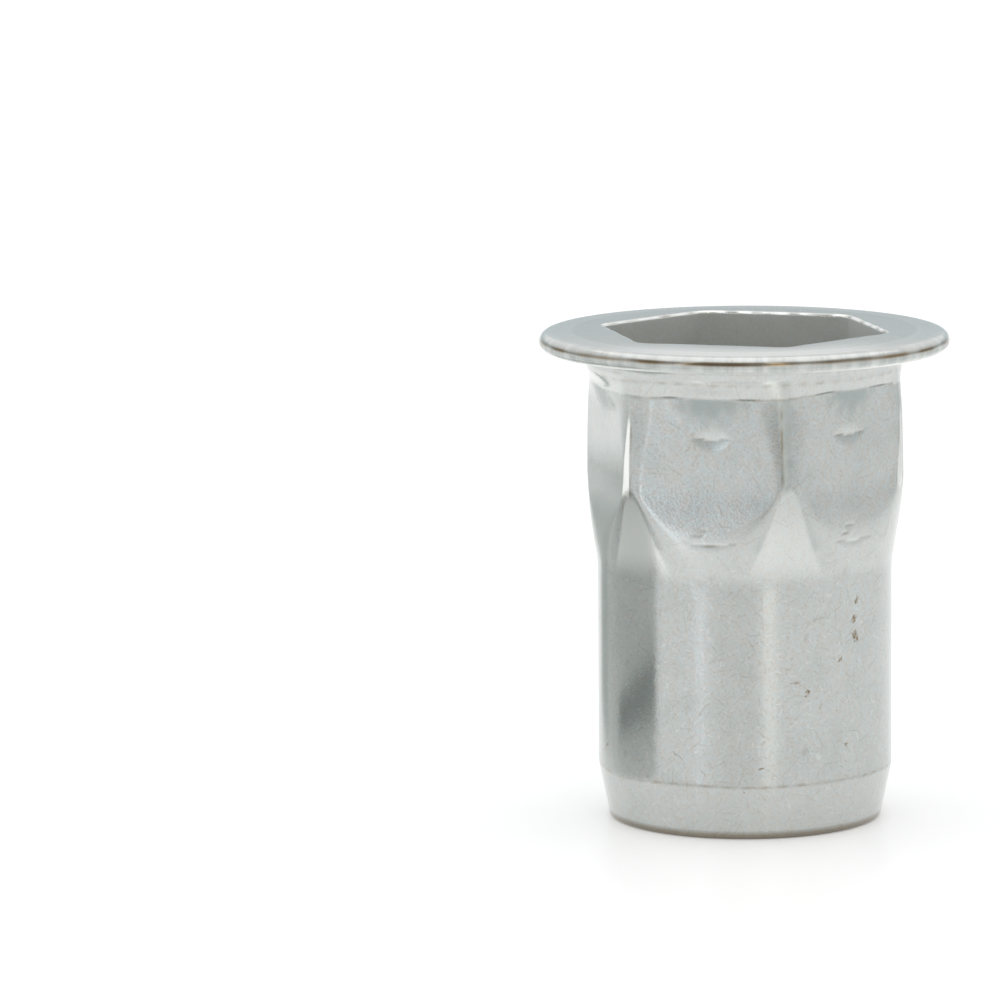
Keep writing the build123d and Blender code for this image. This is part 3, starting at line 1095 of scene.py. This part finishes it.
def side_cards(studio):
    """Grey cards that stand on the floor beside the nut, seen only in the metal."""
    front, right = toward_camera(studio)
    for name, tone, corners in CARDS:
        material = bpy.data.materials.new(name)
        material.use_nodes = True
        paint = material.node_tree.nodes["Principled BSDF"].inputs["Base Color"]
        paint.default_value = linear(tone)
        places = np.array(corners) * MM @ np.array([right, front, (0, 0, 1)])
        card = mesh_object(name, places, np.array([(0, 1, 2, 3)]))
        card.data.materials.append(material)
        card.visible_camera = card.visible_diffuse = card.visible_shadow = False


def toward_camera(studio):
    """Level unit vectors from the nut's axis to the camera, and to the camera's right."""
    front = Vector((cos(studio.view_azimuth), sin(studio.view_azimuth), 0))
    return front, Vector((0, 0, 1)).cross(front)


def window(tree, turn, up, edges):
    """One inside a window in the surround and nought outside it: each edge gives whether it
    is a turn or a height, and where it fades in."""
    inside = 1.0
    for kind, outer, inner in edges:
        value = turn if kind == "turn" else up
        edge = faded(tree, value, outer, inner, ease="SMOOTHSTEP")
        inside = maths(tree, "MULTIPLY", inside, edge)
    return inside


# Parts of the room around the nut: turn from the camera's direction in radians, and height
# as the sine of the elevation
BACK = (("turn", 1.6, 2.0), ("up", 0.215, 0.152))
DIM = (("turn", -1.5, -1.2), ("turn", 1.6, 1.2), ("up", 0.18, 0.32), ("up", 0.75, 0.5))
DARK = (("turn", -0.72, -0.55), ("turn", 0.8, 0.55), ("up", 0.18, 0.32), ("up", 0.86, 0.7))
DOOR = (("turn", -0.48, -0.38), ("turn", 0.22, 0.12), ("up", -0.1, 0.0), ("up", 0.36, 0.2))


def studio_world(scene, studio):
    """White surround, greyer near the floor, with the dark of the unlit room behind the
    camera."""
    world = bpy.data.worlds.new("studio")
    world.use_nodes = True
    tree = world.node_tree
    tree.nodes.clear()
    heading = node(tree, "ShaderNodeTexCoord").outputs["Generated"]
    front, right = (
        vector_maths(tree, "DOT_PRODUCT", heading, axis) for axis in toward_camera(studio)
    )
    up = node(tree, "ShaderNodeSeparateXYZ", {"Vector": heading}).outputs["Z"]
    turn = maths(tree, "ARCTAN2", right, front)
    behind = maths(tree, "ABSOLUTE", turn)
    around = studio.surround
    for share_of, over in (
        (window(tree, behind, up, BACK), studio.horizon),
        (window(tree, turn, up, DIM), studio.dim_room),
        (window(tree, turn, up, DARK), studio.dark_room),
        (window(tree, turn, up, DOOR), studio.door),
    ):
        around = node(
            tree, "ShaderNodeMix", {"Factor": share_of, 6: around, 7: over}, data_type="RGBA"
        )
    seen = node(tree, "ShaderNodeLightPath").outputs["Is Camera Ray"]
    light = node(tree, "ShaderNodeBackground", {"Color": around})
    white = node(tree, "ShaderNodeBackground", {"Color": (1, 1, 1, 1)})
    either = node(tree, "ShaderNodeMixShader", {0: seen, 1: light, 2: white})
    node(tree, "ShaderNodeOutputWorld", {"Surface": either})
    scene.world = world


def softbox(name, place, aim, width, height, brightness, tone):
    """Rectangular lamp of the given brightness, where one is white, and colour."""
    lamp = bpy.data.lights.new(name, "AREA")
    lamp.shape = "RECTANGLE"
    lamp.size, lamp.size_y = width, height
    lamp.energy = brightness * pi * width * height
    lamp.color = linear(tone)[:3]
    made = bpy.data.objects.new(name, lamp)
    bpy.context.scene.collection.objects.link(made)
    made.location = place
    made.rotation_euler = (aim - place).to_track_quat("-Z", "Y").to_euler()


# Upright strip lights around the nut: turn from the camera's direction and width in
# degrees, brightness and colour
STRIPS = (
    ("cool_strip", -36.5, 6, 1.25, "#e6f1ff"),
    ("warm_strip", 17, 9, 1.3, "#fff6e8"),
)

# Distance of the strip lights from the axis, and their height
STRIP_REACH = 0.3

# Height of the lamp overhead, its side and its brightness
OVERHEAD_HEIGHT, OVERHEAD_SIDE, OVERHEAD_BRIGHTNESS = 0.4, 0.7, 0.3


def strip_lights(studio):
    """Stand the strip lights on the floor around the nut."""
    front, right = toward_camera(studio)
    aim = Vector((0, 0, STRIP_REACH / 2))
    for name, turn, width, brightness, tone in STRIPS:
        way = front * cos(radians(turn)) + right * sin(radians(turn))
        place = way * STRIP_REACH + aim
        softbox(name, place, aim, STRIP_REACH * radians(width), STRIP_REACH, brightness, tone)


def overhead_light():
    """Hang the square lamp over the nut."""
    place, side = Vector((0, 0, OVERHEAD_HEIGHT)), OVERHEAD_SIDE
    softbox("overhead", place, Vector(), side, side, OVERHEAD_BRIGHTNESS, "#ffffff")


def studio_camera(scene, studio):
    """Long lens, low in front, aimed beside the nut's axis."""
    front, right = toward_camera(studio)
    aim = Vector((0, 0, studio.aim_height)) - right * studio.aim_side
    back = front * cos(studio.view_elevation) + Vector((0, 0, sin(studio.view_elevation)))
    up = back.cross(right)
    turn = Matrix.Rotation(studio.view_roll, 3, back)
    axes = Matrix((turn @ right, turn @ up, back)).transposed()
    data = bpy.data.cameras.new("camera")
    data.lens = studio.lens
    data.sensor_width = 36
    data.clip_start, data.clip_end = 0.01, 20
    camera = bpy.data.objects.new("camera", data)
    scene.collection.objects.link(camera)
    camera.matrix_world = Matrix.Translation(aim + back * studio.view_distance) @ axes.to_4x4()
    scene.camera = camera


# ---------------------------------------------------------------------------- operators


class RIVETNUT_OT_formed_nut(bpy.types.Operator):
    """Build the nut's skin with its hexagon, socket, flange and thread"""

    bl_idname = "rivetnut.formed_nut"
    bl_label = "Formed nut"

    def execute(self, context):
        n = drawn(context.scene.nut_sizes)
        nut = mesh_object("formed_nut", *skin(n, COLUMNS))
        nut.data.materials.append(plated_zinc(context.scene.nut_finish, n))
        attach(nut, "root")
        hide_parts("rivet_nut")
        return {"FINISHED"}


class RIVETNUT_OT_studio(bpy.types.Operator):
    """Set the nut on a white floor in soft light, with the camera in front of it"""

    bl_idname = "rivetnut.studio"
    bl_label = "Studio"

    def execute(self, context):
        scene, studio = context.scene, context.scene.nut_studio
        scene.view_settings.view_transform = "Standard"
        white_floor(studio)
        side_cards(studio)
        studio_world(scene, studio)
        overhead_light()
        strip_lights(studio)
        studio_camera(scene, studio)
        return {"FINISHED"}


class RIVETNUT_PT_sidebar(bpy.types.Panel):
    """Buttons and sizes of the rivet nut"""

    bl_idname = "RIVETNUT_PT_sidebar"
    bl_label = "Rivet nut"
    bl_space_type = "VIEW_3D"
    bl_region_type = "UI"
    bl_category = "Rivet nut"

    def draw(self, context):
        for group in (context.scene.nut_sizes, context.scene.nut_finish, context.scene.nut_studio):
            box = self.layout.box()
            for name in type(group).__annotations__:
                box.prop(group, name)
        self.layout.operator(RIVETNUT_OT_formed_nut.bl_idname)
        self.layout.operator(RIVETNUT_OT_studio.bl_idname)


CLASSES = (
    NutSizes,
    NutFinish,
    Studio,
    RIVETNUT_OT_formed_nut,
    RIVETNUT_OT_studio,
    RIVETNUT_PT_sidebar,
)


def register():
    for cls in CLASSES:
        bpy.utils.register_class(cls)
    bpy.types.Scene.nut_sizes = bpy.props.PointerProperty(type=NutSizes)
    bpy.types.Scene.nut_finish = bpy.props.PointerProperty(type=NutFinish)
    bpy.types.Scene.nut_studio = bpy.props.PointerProperty(type=Studio)


def unregister():
    del bpy.types.Scene.nut_studio
    del bpy.types.Scene.nut_finish
    del bpy.types.Scene.nut_sizes
    for cls in reversed(CLASSES):
        bpy.utils.unregister_class(cls)


def main():
    """Build everything in order."""
    register()
    bpy.ops.rivetnut.formed_nut()
    bpy.ops.rivetnut.studio()


if __name__ == "__main__":
    main()
